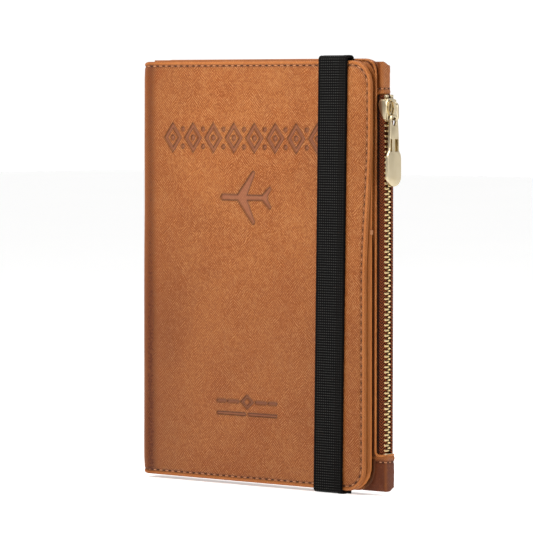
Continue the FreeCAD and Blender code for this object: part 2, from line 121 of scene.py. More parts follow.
def newMaterial(name, sockets):
    # a material, what adds a node to it and what plugs into its shader
    material = bpy.data.materials.new(name)
    material.use_nodes = True
    tree = material.node_tree
    finish = partial(plug, tree, tree.nodes["Principled BSDF"])
    finish(sockets)
    return material, partial(addNode, tree), finish


leatherLook = {
    "base": "#924c18", "light": "#9f5c28", "deep": "#7e4014",  # mottled tan
    # next line: a darker tone for painted shade in the grain's hollows, a paler one for edge wear and painted
    # highlight, a darker one for burnish and painted shade, and a paler glint for painted highlight on the grain's
    # ridges
    "creaseShade": "#6b330f", "wornAndLit": "#bb7238", "burntAndShaded": "#57260b", "glint": "#cb9360",
    "pressed": "#8f5a42", "outline": "#35160a",
    "mottle": 16.0, "cloud": 43.2, "grain": 0.95, "wrinkle": 0.75, "warp": 4.5, "patch": 5.0,  # mm
    "pull": 0.0016, "grainDepth": 0.05,  # metres and mm
}


def embossedLeather(name, shadeTone=1.0):
    # coated split leather with an embossed pebble grain: semi-matte, mottled, paler where it is
    # turned over an edge, from edge wear and painted highlight, and darker along the spine and in shaded
    # places, from burnish and painted shade; its ridges get a painted highlight and its hollows painted shade
    look = leatherLook
    material, add, finish = newMaterial(name, {"Coat Weight": 0.04, "Coat Roughness": 0.35,
                                               "Specular IOR Level": 0.2})
    where = add("TexCoord", {}, "Object")
    noises = {key: add("TexNoise", {"Vector": where, "Scale": 1000 / look[key], "Detail": detail})
              for key, detail in (("mottle", 4.0), ("cloud", 2.0), ("patch", 2.0), ("wrinkle", 2.0))}
    plug(material.node_tree, noises["mottle"].node, {"Roughness": 0.55})
    plug(material.node_tree, noises["wrinkle"].node, {"Roughness": 0.6, "Distortion": 0.2})
    # the grain: fine ripples that cross on the slant, pulled about so that they never line up
    warp = add("TexNoise", {"Vector": where, "Scale": 1000 / look["warp"], "Detail": 2.0}, "Color")
    pulled = add("Mix", {0: look["pull"], 4: where, 5: warp}, 1, data_type="VECTOR")
    x, y, z = add("SeparateXYZ", {0: pulled}, None)
    level = add("Math", {0: x, 1: y}, operation="ADD")
    ripples = []
    for way in ("ADD", "SUBTRACT"):
        slant = add("Math", {0: z, 1: level}, operation=way)
        turns = add("Math", {0: slant, 1: 2 * math.pi * 1000 / look["grain"]}, operation="MULTIPLY")
        ripples.append(add("Math", {0: turns}, operation="SINE"))
    share = add("ValToRGB", {0: noises["patch"]}, stops=((0.4, grey(0)), (0.62, grey(1))))
    sway = add("Mix", {0: share, 2: ripples[0], 3: ripples[1]}, data_type="FLOAT")
    cross = add("Math", {0: ripples[0], 1: ripples[1]}, operation="MULTIPLY")
    grain = add("Math", {0: sway, 1: 0.5}, operation="MULTIPLY")
    grain = add("Math", {0: cross, 1: 0.3, 2: grain}, operation="MULTIPLY_ADD")
    uneven = add("Math", {0: noises["wrinkle"], 1: 0.5}, operation="SUBTRACT")
    grain = add("Math", {0: uneven, 1: 2.0, 2: grain}, operation="MULTIPLY_ADD")
    hollowShade = add("Math", {0: grain, 1: -1.0}, operation="MULTIPLY")
    wearAndHighlight, burnishAndShade, pressed, outline = (add("Attribute", {}, "Fac", attribute_name=key)
                                       for key in ("wearAndHighlight", "burnishAndShade", "pressed", "outline"))
    patchy = add("Math", {0: noises["wrinkle"], 1: 0.3}, operation="ADD")
    body = colour(look["base"])
    # besides the bump, the grain's ridges are painted paler and its hollows darker: painted highlight on the ridges,
    # painted shade in the hollows
    for source, low, high, most, tint in (
            (noises["mottle"], 0.36, 0.66, 1.0, "light"), (noises["cloud"], 0.5, 0.72, 0.55, "deep"),
            (grain, 0.05, 0.7, 0.75, "glint"), (hollowShade, 0.05, 0.7, 0.65, "creaseShade")):
        share = add("ValToRGB", {0: source}, stops=((low, grey(0)), (high, grey(most))))
        body = add("Mix", {0: share, 6: body, 7: colour(look[tint])}, 2, data_type="RGBA")
    # burnish and painted shade, edge wear and painted highlight, the pressed marks' own tone, and near-black lines:
    # painted shade in grooves, seams and gaps between layers, and dark rims round the pressed marks
    for source, much, tint in ((burnishAndShade, patchy, "burntAndShaded"), (wearAndHighlight, 0.6, "wornAndLit"),
                               (pressed, 0.75, "pressed"), (outline, 0.85, "outline")):
        share = add("Math", {0: source, 1: much}, operation="MULTIPLY")
        body = add("Mix", {0: share, 6: body, 7: colour(look[tint])}, 2, data_type="RGBA")
    # a darker copy of the same leather: painted shade
    if shadeTone != 1.0:
        body = add("Mix", {0: 1.0, 6: body, 7: grey(shadeTone)}, 2, data_type="RGBA", blend_type="MULTIPLY")
    smooth = add("Math", {0: pressed, 1: -0.8, 2: 1.0}, operation="MULTIPLY_ADD")
    height = add("Math", {0: grain, 1: smooth}, operation="MULTIPLY")
    finish({"Base Color": body,
            "Normal": add("Bump", {"Height": height, "Strength": 0.9, "Distance": look["grainDepth"] * mm}),
            "Roughness": add("ValToRGB", {0: noises["wrinkle"]}, stops=((0.3, grey(0.40)), (0.75, grey(0.56))))})
    return material


def wovenCloth(name, look):
    # threads over and under on the piece's own UV map, which is in millimetres: plain, ribbed
    # across, or a herringbone with columns of the width given
    material, add, finish = newMaterial(name, {"Roughness": look["roughness"], "Specular IOR Level": look["level"]})
    uv = add("UVMap", {}, uv_map="cloth")
    u, v, _ = add("SeparateXYZ", {0: uv}, None)
    turnU, turnV = (add("Math", {0: line, 1: 2 * math.pi / pitch}, operation="MULTIPLY")
                    for line, pitch in zip((u, v), look["pitch"]))
    if "herring" in look:
        zigzag = add("Math", {0: u, 1: look["herring"]}, operation="PINGPONG")
        slope = add("Math", {0: zigzag, 1: 2 * math.pi / look["pitch"][0]}, operation="MULTIPLY")
        weave = add("Math", {0: add("Math", {0: slope, 1: turnV}, operation="ADD")}, operation="SINE")
    else:
        columns, weave = (add("Math", {0: turns}, operation="SINE") for turns in (turnU, turnV))
        if "ribbed" in look:
            columns = add("Math", {0: columns, 1: look["ribbed"], 2: 1 - look["ribbed"]}, operation="MULTIPLY_ADD")
        weave = add("Math", {0: weave, 1: columns}, operation="MULTIPLY")
    fuzz = add("TexNoise", {"Vector": uv, "Scale": 3.1, "Detail": 3.0})
    fuzz = add("Math", {0: fuzz, 1: 0.5}, operation="SUBTRACT")
    speck = add("Math", {0: fuzz, 1: 0.7, 2: weave}, operation="MULTIPLY_ADD")
    tint = add("ValToRGB", {0: speck}, stops=((look["shows"], colour(look["dark"])),
                                              (look["shows"] + 0.5, colour(look["light"]))))
    # the shade attribute mixes in near black: painted shadow on the zip tape, darker bands on the elastic
    shade = add("Attribute", {}, "Fac", attribute_name="shade")
    finish({"Base Color": add("Mix", {0: shade, 6: tint, 7: colour("#080504")}, 2, data_type="RGBA"),
            "Normal": add("Bump", {"Height": weave, "Strength": 0.7, "Distance": look["depth"] * mm})})
    return material


def paleGoldPlate(name, tint, roughness, haze):
    # zinc casting with a polished pale-gold plating: mirror-like, faintly hazed by handling
    material, add, finish = newMaterial(name, {"Metallic": 1.0})
    smudge = add("TexNoise", {"Vector": add("TexCoord", {}, "Object"), "Scale": 1000 / 3.0, "Detail": 3.0})
    share = add("Math", {0: smudge, 1: 0.3}, operation="MULTIPLY")
    finish({"Roughness": add("ValToRGB", {0: smudge}, stops=((0.35, grey(roughness)), (0.7, grey(roughness + haze)))),
            "Base Color": add("Mix", {0: share, 6: colour(tint), 7: colour("#efe6cf")}, 2, data_type="RGBA"),
            "Normal": add("Bump", {"Height": smudge, "Strength": 0.04, "Distance": 0.03 * mm})})
    return material


def twoTone(name, size, stops, depth, sockets):
    # a plain surface that wanders between two colours over the given size in millimetres
    material, add, finish = newMaterial(name, sockets)
    wander = add("TexNoise", {"Vector": add("TexCoord", {}, "Object"), "Scale": 1000 / size, "Detail": 2.0})
    finish({"Base Color": add("ValToRGB", {0: wander}, stops=stops)})
    if depth:
        finish({"Normal": add("Bump", {"Height": wander, "Strength": 0.5, "Distance": depth * mm})})
    return material


leather = embossedLeather("embossedLeather")
# the same leather darker all over, painted shade for the card slots and the passport sleeve
shadedInnerLeather = embossedLeather("embossedLeatherInner", 0.82)
elastic = wovenCloth("ribbedElastic", {"dark": "#030303", "light": "#464644", "pitch": (0.95, 0.87), "roughness": 0.75,
                                       "depth": 0.12, "shows": 0.42, "level": 0.08, "ribbed": 0.3})
zipCloth = wovenCloth("zipTapeCloth", {"dark": "#33130a", "light": "#84421f", "pitch": (0.95, 0.95), "roughness": 0.85,
                                       "depth": 0.14, "shows": -0.2, "level": 0.15, "herring": 1.2})
liningCloth = wovenCloth("liningTwill", {"dark": "#4b3122", "light": "#6d4a33", "pitch": (0.5, 0.5), "roughness": 0.8,
                                         "depth": 0.05, "shows": 0.1, "level": 0.4})
gold = paleGoldPlate("paleGoldPlate", "#c0b08f", 0.3, 0.03)
toothGold = paleGoldPlate("toothGold", "#c9ad74", 0.24, 0.08)
darkGold = paleGoldPlate("shadedGold", "#a98a48", 0.3, 0.1)
# bonded polyester sewing thread: two plies, a little shine
thread = twoTone("waxedThread", 0.4, ((0.35, colour("#a9693f")), (0.65, colour("#cf9566"))), 0.05, {"Roughness": 0.55})
# the pricked hole's shadowed inside, nearly black brown
hole = twoTone("needleHole", 0.5, ((0.3, colour("#32170b")), (0.7, colour("#4c2713"))), 0.0, {"Roughness": 0.9})
print("materials made")


def addPiece(name, bm, body, material, nodes=(), values=None, sharp=None, blendWith=None, cloth=None):
    # brings a bmesh home as one piece under its body; with blendWith, which is (other body, start, end) in millimetres,
    # it is left unparented with its transform baked, and that body and span are not used here
    bmesh.ops.recalc_face_normals(bm, faces=bm.faces)
    bmesh.ops.scale(bm, vec=(mm,) * 3, verts=bm.verts)
    bmesh.ops.translate(bm, vec=home, verts=bm.verts)
    mesh = bpy.data.meshes.new(name)
    bm.to_mesh(mesh)
    bm.free()
    for key, numbers in (values or {}).items():
        mesh.attributes.new(key, "FLOAT", "POINT").data.foreach_set("value", np.asarray(numbers, np.float32))
    if cloth is not None:
        loops = np.zeros(len(mesh.loops), np.int32)
        mesh.loops.foreach_get("vertex_index", loops)
        mesh.uv_layers.new(name="cloth").data.foreach_set("uv", np.asarray(cloth, np.float32)[loops].ravel())
    mesh.polygons.foreach_set("use_smooth", [True] * len(mesh.polygons))
    if sharp:
        mesh.set_sharp_from_angle(angle=math.radians(sharp))
    mesh.materials.append(material)
    piece = bpy.data.objects.new(name, mesh)
    bpy.context.scene.collection.objects.link(piece)
    if blendWith:
        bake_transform(piece)
    else:
        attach(piece, body)
    if nodes:
        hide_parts(*nodes)


def readPoints(bm):
    return np.array([v.co for v in bm.verts], float)


def writePoints(bm, points):
    for v, spot in zip(bm.verts, points):
        v.co = spot


def layFlat(bm, points, face, side, slack=0.0):
    # stands a flat sheet up at the level of its face, looking to the front (-1) or the rear (1)
    writePoints(bm, np.stack([points[:, 0] - slack, face + side * points[:, 2], points[:, 1]], 1))


def gridSheet(columns, rows):
    # a flat grid in x and y whose lines stand at the given places
    bm = bmesh.new()
    bmesh.ops.create_grid(bm, x_segments=len(columns) - 1, y_segments=len(rows) - 1, size=1)
    for v in bm.verts:
        i = round((v.co.x + 1) / 2 * (len(columns) - 1))
        j = round((v.co.y + 1) / 2 * (len(rows) - 1))
        v.co = (columns[i], rows[j], 0)
    return bm


def spaced(low, high, step, fine=(), fineEnd=()):
    # lines from low to high about one step apart, with closer ones near either end
    first, last = low + (fine[-1] if fine else 0), high - (fineEnd[-1] if fineEnd else 0)
    count = max(1, round((last - first) / step))
    middle = [first + (last - first) * i / count for i in range(count + 1)]
    start = [low] + [low + f for f in fine[:-1]] if fine else []
    end = [high - f for f in reversed(fineEnd[:-1])] + [high] if fineEnd else []
    return start + middle + end


def roundFore(bm, right, bottom, top, radius):
    # rounds the two corners at the fore edge of a flat sheet, square to disc
    for v in bm.verts:
        a = (v.co.x - (right - radius)) / radius
        for edge, sign in ((top, 1), (bottom, -1)):
            b = sign * (v.co.y - edge) / radius + 1
            if a > 0 and b > 0:
                p, q = min(a, 1), min(b, 1)
                v.co.x = right - radius + p * math.sqrt(1 - q * q / 2) * radius
                v.co.y = edge + sign * (q * math.sqrt(1 - p * p / 2) * radius - radius)


def edgeDistance(points, outline):
    # how far inside the outline each point is; a left of None is where the sheet goes on
    left, right, bottom, top, radius = outline
    x, y = points[:, 0], points[:, 1]
    gap = np.minimum(np.minimum(right - x, top - y), y - bottom)
    dx = x - (right - radius)
    dy = np.maximum(y - (top - radius), (bottom + radius) - y)
    gap = np.where((dx > 0) & (dy > 0), radius - np.hypot(dx, dy), gap)
    return gap if left is None else np.minimum(gap, x - left)


def inwardFrom(x, y, outline):
    left, right, bottom, top, radius = outline
    slack = 1e-4
    dx = x - (right - radius)
    dy = max(y - (top - radius), (bottom + radius) - y)
    if radius and dx > slack and dy > slack:
        return Vector((-dx, dy if y < (top + bottom) / 2 else -dy, 0)).normalized()
    across = -1.0 if x > right - slack else (1.0 if left is not None and x < left + slack else 0.0)
    return Vector((across, -1.0 if y > top - slack else (1.0 if y < bottom + slack else 0.0), 0))


def turnEdge(bm, outline, steps, close=False):
    # turns the rim back: each step is how far inward and how deep the next loop lies
    start = min(v.co.x for v in bm.verts) + 1e-3
    rim = [e for e in bm.edges if e.is_boundary and (outline[0] is not None or any(v.co.x > start for v in e.verts))]
    known = {v: (v.co.copy(), inwardFrom(v.co.x, v.co.y, outline)) for e in rim for v in e.verts}
    for inset, depth in steps:
        out = bmesh.ops.extrude_edge_only(bm, edges=rim)["geom"]
        found = {}
        for v in (g for g in out if isinstance(g, bmesh.types.BMVert)):
            found[v] = next(known[e.other_vert(v)] for e in v.link_edges if e.other_vert(v) in known)
        for v, (spot, inward) in found.items():
            v.co = spot + inward * inset
            v.co.z = -depth
        known = found
        rim = [g for g in out if isinstance(g, bmesh.types.BMEdge) and all(v in found for v in g.verts)]
    if close:
        bmesh.ops.edgeloop_fill(bm, edges=rim)


def roundRim(radius, thick):
    # steps of a rim that swells out by its radius and comes back
    return ((-0.7 * radius, 0.3 * radius), (-radius, radius), (-radius, max(thick - radius, radius * 1.01)),
            (-0.7 * radius, thick - 0.3 * radius), (0.0, thick))


def curvedPath(corners, radius, step):
    # a path through the corners, each rounded, as evenly spaced points
    spots = [Vector(c) for c in corners]
    path = [spots[0]]
    radii = radius if isinstance(radius, tuple) else (radius,) * (len(spots) - 2)
    for before, corner, after, radius in zip(spots, spots[1:], spots[2:], radii):
        reach = min(radius, (before - corner).length * 0.5, (after - corner).length * 0.5)
        near = corner + (before - corner).normalized() * reach
        far = corner + (after - corner).normalized() * reach
        for i in range(9):
            t = i / 8
            path.append(near * (1 - t) ** 2 + corner * 2 * t * (1 - t) + far * t * t)
    path.append(spots[-1])
    points = np.array(path, float)
    along = np.concatenate([[0], np.cumsum(np.linalg.norm(np.diff(points, axis=0), axis=1))])
    count = max(2, round(along[-1] / step))
    even = np.linspace(0, along[-1], count + 1)
    return even, np.stack([np.interp(even, along, points[:, k]) for k in range(points.shape[1])], 1)


def wrapSheet(points, path):
    # wraps a flat sheet (distance along, height, rise) round a path in x and y
    along, spots = path
    tangent = np.gradient(spots, along, axis=0)
    tangent /= np.linalg.norm(tangent, axis=1)[:, None]
    x, y, tx, ty = (np.interp(points[:, 0], along, k) for k in (*spots.T, *tangent.T))
    return np.stack([x + ty * points[:, 2], y - tx * points[:, 2], points[:, 1]], 1)


def sweep(bm, path, wide, deep, sides=10, ends=0.5):
    # a rod along a path of points, wide by deep across, its ends drawn in
    ring = bmesh.ops.create_circle(bm, segments=sides, radius=1)["verts"]
    shape = {v: v.co.copy() for v in ring}
    edges = list({e for v in ring for e in v.link_edges})
    first = list(edges)
    spots = [Vector(p) for p in path]
    for i, spot in enumerate(spots):
        if i:
            out = bmesh.ops.extrude_edge_only(bm, edges=edges)["geom"]
            fresh = {}
            for v in (g for g in out if isinstance(g, bmesh.types.BMVert)):
                fresh[v] = next(shape[e.other_vert(v)] for e in v.link_edges if e.other_vert(v) in shape)
            edges = [g for g in out if isinstance(g, bmesh.types.BMEdge) and all(v in fresh for v in g.verts)]
            shape = fresh
        forward = (spots[min(i + 1, len(spots) - 1)] - spots[max(i - 1, 0)]).normalized()
        lean = Vector((0, 1, 0)) if abs(forward.y) < 0.8 else Vector((0, 0, 1))
        side = forward.cross(lean).normalized()
        other = side.cross(forward).normalized()
        size = ends if i in (0, len(spots) - 1) else 1.0
        for v, c in shape.items():
            v.co = spot + side * c.x * deep / 2 * size + other * c.y * wide / 2 * size
    bmesh.ops.edgeloop_fill(bm, edges=edges)
    bmesh.ops.edgeloop_fill(bm, edges=first)


def softBox(bm, low, high, bevel, segments=2):
    # a block with rounded edges
    middle, size = (Vector(low) + Vector(high)) / 2, Vector(high) - Vector(low)
    matrix = Matrix.Translation(middle) @ Matrix.Diagonal((*size, 1))
    verts = bmesh.ops.create_cube(bm, size=1, matrix=matrix)["verts"]
    edges = list({e for v in verts for e in v.link_edges})
    bmesh.ops.bevel(bm, geom=edges, offset=bevel, segments=segments, profile=0.5, affect="EDGES", material=-1)


def sewn(bm, spots, long, wide, high, level=0.0):
    # one small rounded thread end or hole at each place (x, y, heading)
    for x, y, heading in spots:
        shown = 0.62 if abs(heading + math.pi / 2) < 0.01 else 1.0  # pulled tighter down the fore edge
        matrix = (Matrix.Translation((x, y, level)) @ Matrix.Rotation(heading, 4, "Z")
                  @ Matrix.Diagonal((shown * long / 2, wide / 2, high / 2, 1)))
        bmesh.ops.create_uvsphere(bm, u_segments=8, v_segments=6, radius=1, matrix=matrix)


def seamWalk(start, outline, inset, pitch, begin=0.5):
    # places along the top, the fore edge and the bottom of a page: (x, y, heading)
    left, right, bottom, top, radius = outline
    turn = radius - inset
    reach = right - radius - start
    rise = top - bottom - 2 * radius
    quarter = turn * math.pi / 2
    length = 2 * reach + 2 * quarter + rise
    count = round(length / pitch)
    for i in range(count):
        t = (i + begin) * length / count
        if t < reach:
            yield start + t, top - inset, 0.0
        elif t < reach + quarter:
            a = (t - reach) / turn
            yield right - radius + turn * math.sin(a), top - radius + turn * math.cos(a), -a
        elif t < reach + quarter + rise:
            yield right - inset, top - radius - (t - reach - quarter), -math.pi / 2
        elif t < reach + 2 * quarter + rise:
            a = (t - reach - quarter - rise) / turn
            yield right - radius + turn * math.cos(a), bottom + radius - turn * math.sin(a), -math.pi / 2 - a
        else:
            yield start + length - t, bottom + inset, math.pi


def lumps(points, size, seed):
    # soft unevenness, one value a point, about -1 to 1
    return np.array([noise.noise(Vector((p[0] / size + seed, p[1] / size, seed * 1.7))) for p in points])


fold = {"radius": 2.2, "half": (spineBox[1].y - spineBox[0].y) / mm / 2}
foldStart = fold["half"] - fold["radius"]
foldTurn = fold["radius"] * math.pi / 2


def alongSheet(x):
    # distance from the middle of the spine to a place on the cover's flat
    return x - fold["radius"] + foldStart + foldTurn


def foldSheet(points, side):
    # takes a flat sheet (distance from the middle of the spine, height, rise) round the fold
    s, z, rise = points[:, 0], points[:, 1], points[:, 2]
    angle = np.clip((s - foldStart) / fold["radius"], 0, math.pi / 2)
    x = fold["radius"] * (1 - np.cos(angle)) + np.maximum(s - foldStart - foldTurn, 0) - np.cos(angle) * rise
    y = np.clip(s, 0, foldStart) + fold["radius"] * np.sin(angle) + np.sin(angle) * rise
    return np.stack([x, y * side, z], 1)


def foldBlend(side):
    return "spine", (3.6, side * fold["half"], 0.0), (0.0, side * 0.6, 0.0)


ornament = {
    "row": {"left": 14.5, "step": 9.6, "count": 8, "drop": 26.3, "wide": 3.3, "tall": 4.2, "line": 0.9},
    "plane": {"x": 49.0, "drop": 46.6, "nose": 10.6, "tail": 9.4, "span": 8.4},
    "foot": {"x": 49.5, "drop": 118.8, "half": 13.5, "gap": 4.2},
    "depth": 0.24,
}


def rod(p, start, end, radiusStart, radiusEnd):
    # distance outside a rod that tapers from one radius to another
    a, b = np.array(start, float), np.array(end, float)
    t = np.clip(((p - a) @ (b - a)) / ((b - a) @ (b - a)), 0, 1)
    return np.hypot(*(p - a - t[:, None] * (b - a)).T) - (radiusStart + t * (radiusEnd - radiusStart))


def lozenge(p, centre, wide, tall, line):
    q = np.abs(p - np.array(centre))
    return np.abs((q[:, 0] / wide + q[:, 1] / tall - 1) * wide * tall / math.hypot(wide, tall)) - line / 2


def ornamentDistance(p, top):
    # p on the cover: from the spine's face, and up; returns the distance outside the nearest mark
    row, plane, foot = ornament["row"], ornament["plane"], ornament["foot"]
    shapes = []
    level = top - row["drop"]
    for i in range(row["count"]):
        x = row["left"] + i * row["step"]
        shapes.append(lozenge(p, (x, level), row["wide"], row["tall"], row["line"]))
        shapes.append(rod(p, (x, level), (x + 0.01, level), 0.75, 0.75))
        for side in (-1, 1):
            spot = (x + row["step"] / 2, level + side * 3.0)
            shapes.append(rod(p, spot, (spot[0] + 0.01, spot[1]), 0.6, 0.6))
    x, z = plane["x"], top - plane["drop"]
    shapes.append(rod(p, (x - plane["nose"], z), (x + plane["tail"], z), 0.95, 0.7))
    for side in (-1, 1):
        shapes.append(rod(p, (x - 2.2, z), (x + 3.4, z + side * plane["span"]), 1.9, 0.55))
        shapes.append(rod(p, (x + plane["tail"] - 1.2, z), (x + plane["tail"] + 1.6, z + side * 3.2), 0.95, 0.45))
    x, z = foot["x"], top - foot["drop"]
    shapes.append(lozenge(p, (x, z + foot["gap"] / 2), 2.4, 1.9, 0.6))
    for side in (-1, 1):
        for near, far in ((4.2, 8.6), (10.2, foot["half"])):
            shapes.append(rod(p, (x + side * near, z + foot["gap"] / 2), (x + side * far, z + foot["gap"] / 2), 0.36, 0.36))
        shapes.append(rod(p, (x + side, z - foot["gap"] / 2), (x + side * foot["half"], z - foot["gap"] / 2), 0.36, 0.36))
    return np.min(shapes, axis=0)


seam = {"inset": 1.55, "pitch": 2.85, "groove": 0.3, "long": 1.5, "wide": 0.36, "hole": 1.2}
cover = {"rim": 0.4, "puff": 0.16, "uneven": 0.07, "hem": 7.0, "leanTop": 0.65, "leanFoot": 2.5,
         "fine": (0.08, 0.18, 0.32, 0.5, 0.75)}


def coverLean(across, z):
    # the front cover's fore edge stands out a little at the top and falls back below the bar tack
    return (cover["leanTop"] - cover["leanFoot"] * ease(122, 70, z)) * ease(79, 95, across)


def makeCover(name, side, step, radius, right, bottom, top, thick, body, nodes, marked):
    # one leather from the middle of the spine, round the fold and out to the fore edge
    far = alongSheet(right)
    outline = (None, far, bottom, top, radius)
    bm = gridSheet(spaced(0.0, far, step, fineEnd=cover["fine"]),
                   spaced(bottom, top, step, fine=cover["fine"], fineEnd=cover["fine"]))
    roundFore(bm, far, bottom, top, radius)
    rim = cover["rim"]
    turnEdge(bm, outline, ((0.0, rim), (0.3, rim + 0.05), (0.3, rim + 0.2), (0.0, rim + 0.28),
                           (0.0, thick - 0.22), (0.2, thick - 0.03), (cover["hem"], thick - 0.03)))
    points = readPoints(bm)
    raw = points[:, 2].copy()
    outer = raw > -1e-9
    gap = edgeDistance(points, outline)
    rise = -np.where(gap < rim, rim - np.sqrt(np.maximum(rim ** 2 - (rim - gap) ** 2, 0)), 0)
    groove = bell(gap, seam["inset"], 0.42)
    rise -= seam["groove"] * groove
    rise += cover["puff"] * ease(seam["inset"] + 0.3, seam["inset"] + 5, gap) * (1 if marked else 0.6)
    rise += cover["uneven"] * lumps(points, 17, 3.1) * ease(2, 8, gap)
    swell = 0.25 + 0.35 * ease(top, bottom, points[:, 1])  # the fold rounds out, more at the foot
    rise += swell * bell(points[:, 0], alongSheet(0.4), 2.6)
    pressed, edge = np.zeros(len(points)), np.zeros(len(points))
    if marked:
        away = ornamentDistance(points[:, :2] - np.array((alongSheet(0.0), 0.0)), top)
        pressed = ease(0.18, -0.22, away)
        edge = bell(away, 0.1, 0.26)
        rise += 0.05 * bell(away, 0.6, 0.4) - ornament["depth"] * pressed
    points[:, 2] = np.where(outer, rise, points[:, 2])
    across = points[:, 0].copy()
    # a darker band where the cover rounds into the spine and darker toward the spine: painted shade with some burnish
    burnishAndShade = 0.65 * bell(across, alongSheet(3.7), 2.2) + 0.25 * ease(alongSheet(30.0), alongSheet(4.0), across)
    if side > 0:  # the rear cover stands a little taller than the spine does
        short = 0.7 * ease(alongSheet(7.0), alongSheet(2.0), across)
        points[:, 1] -= short * ease(0.5, 1.0, (points[:, 1] - bottom) / (top - bottom))
    soft = 0.6 * bell(across, alongSheet(0.0), 1.5)
    points[:, 1] += soft * (ease(bottom + 3, bottom, points[:, 1]) - ease(top - 3, top, points[:, 1]))
    if marked:
        points[:, 0] += coverLean(points[:, 0] - alongSheet(0.0), points[:, 1])
        # darker toward the foot of the front cover: painted shade
        burnishAndShade += 0.24 * ease(100, 45, points[:, 1])
    writePoints(bm, foldSheet(points, side))
    # dark lines of painted shade where the turned rim meets the side and, on the front cover, between its layers
    layerShadeLines = bell(-raw, rim + 0.12, 0.12)
    if marked:
        layerShadeLines += 0.6 * bell(-raw, thick - 0.22, 0.08) + 0.5 * ease(thick - 0.1, thick - 0.05, -raw)
    # paler on the rim and the turned side faces: edge wear and painted highlight; the outline values are dark rims
    # round the pressed marks, painted shade in the seam's groove, and the painted shade lines
    values = {"wearAndHighlight": np.where(outer, 1.1 * bell(gap, 0.6, 0.5), 1.4), "burnishAndShade": burnishAndShade,
              "pressed": np.where(outer, pressed, 0),
              "outline": np.clip(np.where(outer, edge + 0.6 * groove, layerShadeLines), 0, 1)}
    addPiece(name, bm, body, leather, nodes, values, blendWith=foldBlend(side))
    # the seam's thread and the holes between its stitches, sunk in the groove
    for part, material, slotName, begin, size, level in (
            ("Thread", thread, "tan_thread", 0.5, (seam["long"], seam["wide"], 0.34), -0.16),
            ("NeedleHoles", hole, "tan_leather", 1.0, (seam["hole"], 0.5, 0.2), -0.2)):
        bm = bmesh.new()
        spots = list(seamWalk(alongSheet(1.2), outline, seam["inset"], seam["pitch"], begin))
        sewn(bm, spots, *size, level)
        points = readPoints(bm)
        if marked:
            points[:, 0] += coverLean(points[:, 0] - alongSheet(0.0), points[:, 1])
        writePoints(bm, foldSheet(points, side))
        if side > 0:  # mirrored, so the faces turn inside out
            bmesh.ops.reverse_faces(bm, faces=bm.faces)
        used = ("front_cover_thread",) if side < 0 else ("rear_cover_thread",)
        addPiece(name.replace("Leather", part), bm, body, material,
                 used if part == "Thread" else (), blendWith=foldBlend(side))


low, high = nodeSpan("front_cover_leather")
makeCover("frontCoverLeather", -1, 0.45, 8.0, high.x, low.z, high.z, nodeSpan("front_cover_lining")[1].y - low.y,
          "front_cover", ("front_cover_leather", "front_cover_board", "spine_leather"), True)
low, high = nodeSpan("rear_cover_leather")
makeCover("rearCoverLeather", 1, 0.8, 11.0, high.x, low.z, high.z, high.y - low.y,
          "rear_cover", ("rear_cover_leather", "rear_cover_board"), False)
print("covers made")


def makePage(name, node, body, material, side, rim=0.15, radius=0.0, sewnIn=None, steps=None, wider=0.0):
    # a thin page in the space of its CAD node; sewnIn is how far in from its ends its seam runs
    low, high = nodeSpan(node)
    outline = (low.x + rim, high.x + wider - rim, low.z + rim, high.z - rim, radius)
    bm = gridSheet(spaced(outline[0], outline[1], 3.0), spaced(outline[2], outline[3], 3.0))
    if radius:
        roundFore(bm, *outline[1:])
    turnEdge(bm, outline, steps or roundRim(rim, high.y - low.y), close=True)
    points = readPoints(bm)
    face = high.y if side > 0 else low.y
    # paler toward the rim: edge wear and painted highlight
    values = {"wearAndHighlight": 0.8 * bell(edgeDistance(points, outline), 0, 0.5)}
    slack = 0.0
    if name == "sidePocketPanel":  # loose from the cover below the bar tack, with a line of painted shade along its folded edge
        right = high.x + wider
        slack = 0.35 * ease(118, 88, points[:, 1]) * ease(60, right, points[:, 0])
        # paler rim: edge wear and painted highlight
        values["wearAndHighlight"] *= 1.875
        values["outline"] = 0.7 * bell(-points[:, 2], 0.03, 0.05) * ease(right - 1, right, points[:, 0])
    elif name == "frontCoverLining":
        slack = -coverLean(points[:, 0], points[:, 1])
    layFlat(bm, points, face, side, slack)
    addPiece(name, bm, body, material, (node,), values, 50, cloth=points[:, :2])
    if sewnIn:
        bm = bmesh.new()
        long = high.x - low.x - 2 * sewnIn
        count = round(long / seam["pitch"])
        sewn(bm, [(low.x + sewnIn + (i + 0.5) * long / count, high.z - 2.0, 0.0) for i in range(count)],
             seam["long"], seam["wide"], 0.3)
        layFlat(bm, readPoints(bm), face, side)
        addPiece(name + "Thread", bm, body, thread)


makePage("frontCoverLining", "front_cover_lining", "front_cover", liningCloth, 1, 0.08, 7.0)
makePage("spineLining", "spine_lining", "spine", liningCloth, -1, 0.08)
# the pocket's own leather has a folded edge, thicker than its middle
makePage("sidePocketPanel", "side_pocket_panel", "front_cover", leather, -1, 0.2, 7.8, wider=0.4,
         steps=((-0.14, 0.06), (-0.2, 0.25), (-0.2, 0.6), (-0.1, 0.8), (0.15, 0.85), (4.0, 0.85), (4.2, 0.4)))
for number in (1, 2, 3, 4):
    makePage("cardSlot%d" % number, "card_slot_%d" % number, "front_cover", shadedInnerLeather, 1, sewnIn=1.5)
makePage("passportSleeve", "passport_sleeve", "rear_cover", shadedInnerLeather, -1, 0.18, sewnIn=2.0)
makePage("pouchLiningFront", "pouch_lining_front", "rear_cover", liningCloth, 1, 0.08)
makePage("pouchLiningRear", "pouch_lining_rear", "rear_cover", liningCloth, -1, 0.08)
makePage("bandEndTop", "band_end_top", "rear_cover", elastic, -1, 0.08)
makePage("bandEndBottom", "band_end_bottom", "rear_cover", elastic, -1, 0.08)
print("pages made")


band = {"wide": 12.3, "thick": 0.85, "lean": 1.1, "row": 0.87, "ridge": 0.05, "lines": (0.75, 9.75),
        "tuck": 3.2, "bends": (2.2, 1.5, 1.5, 2.2)}


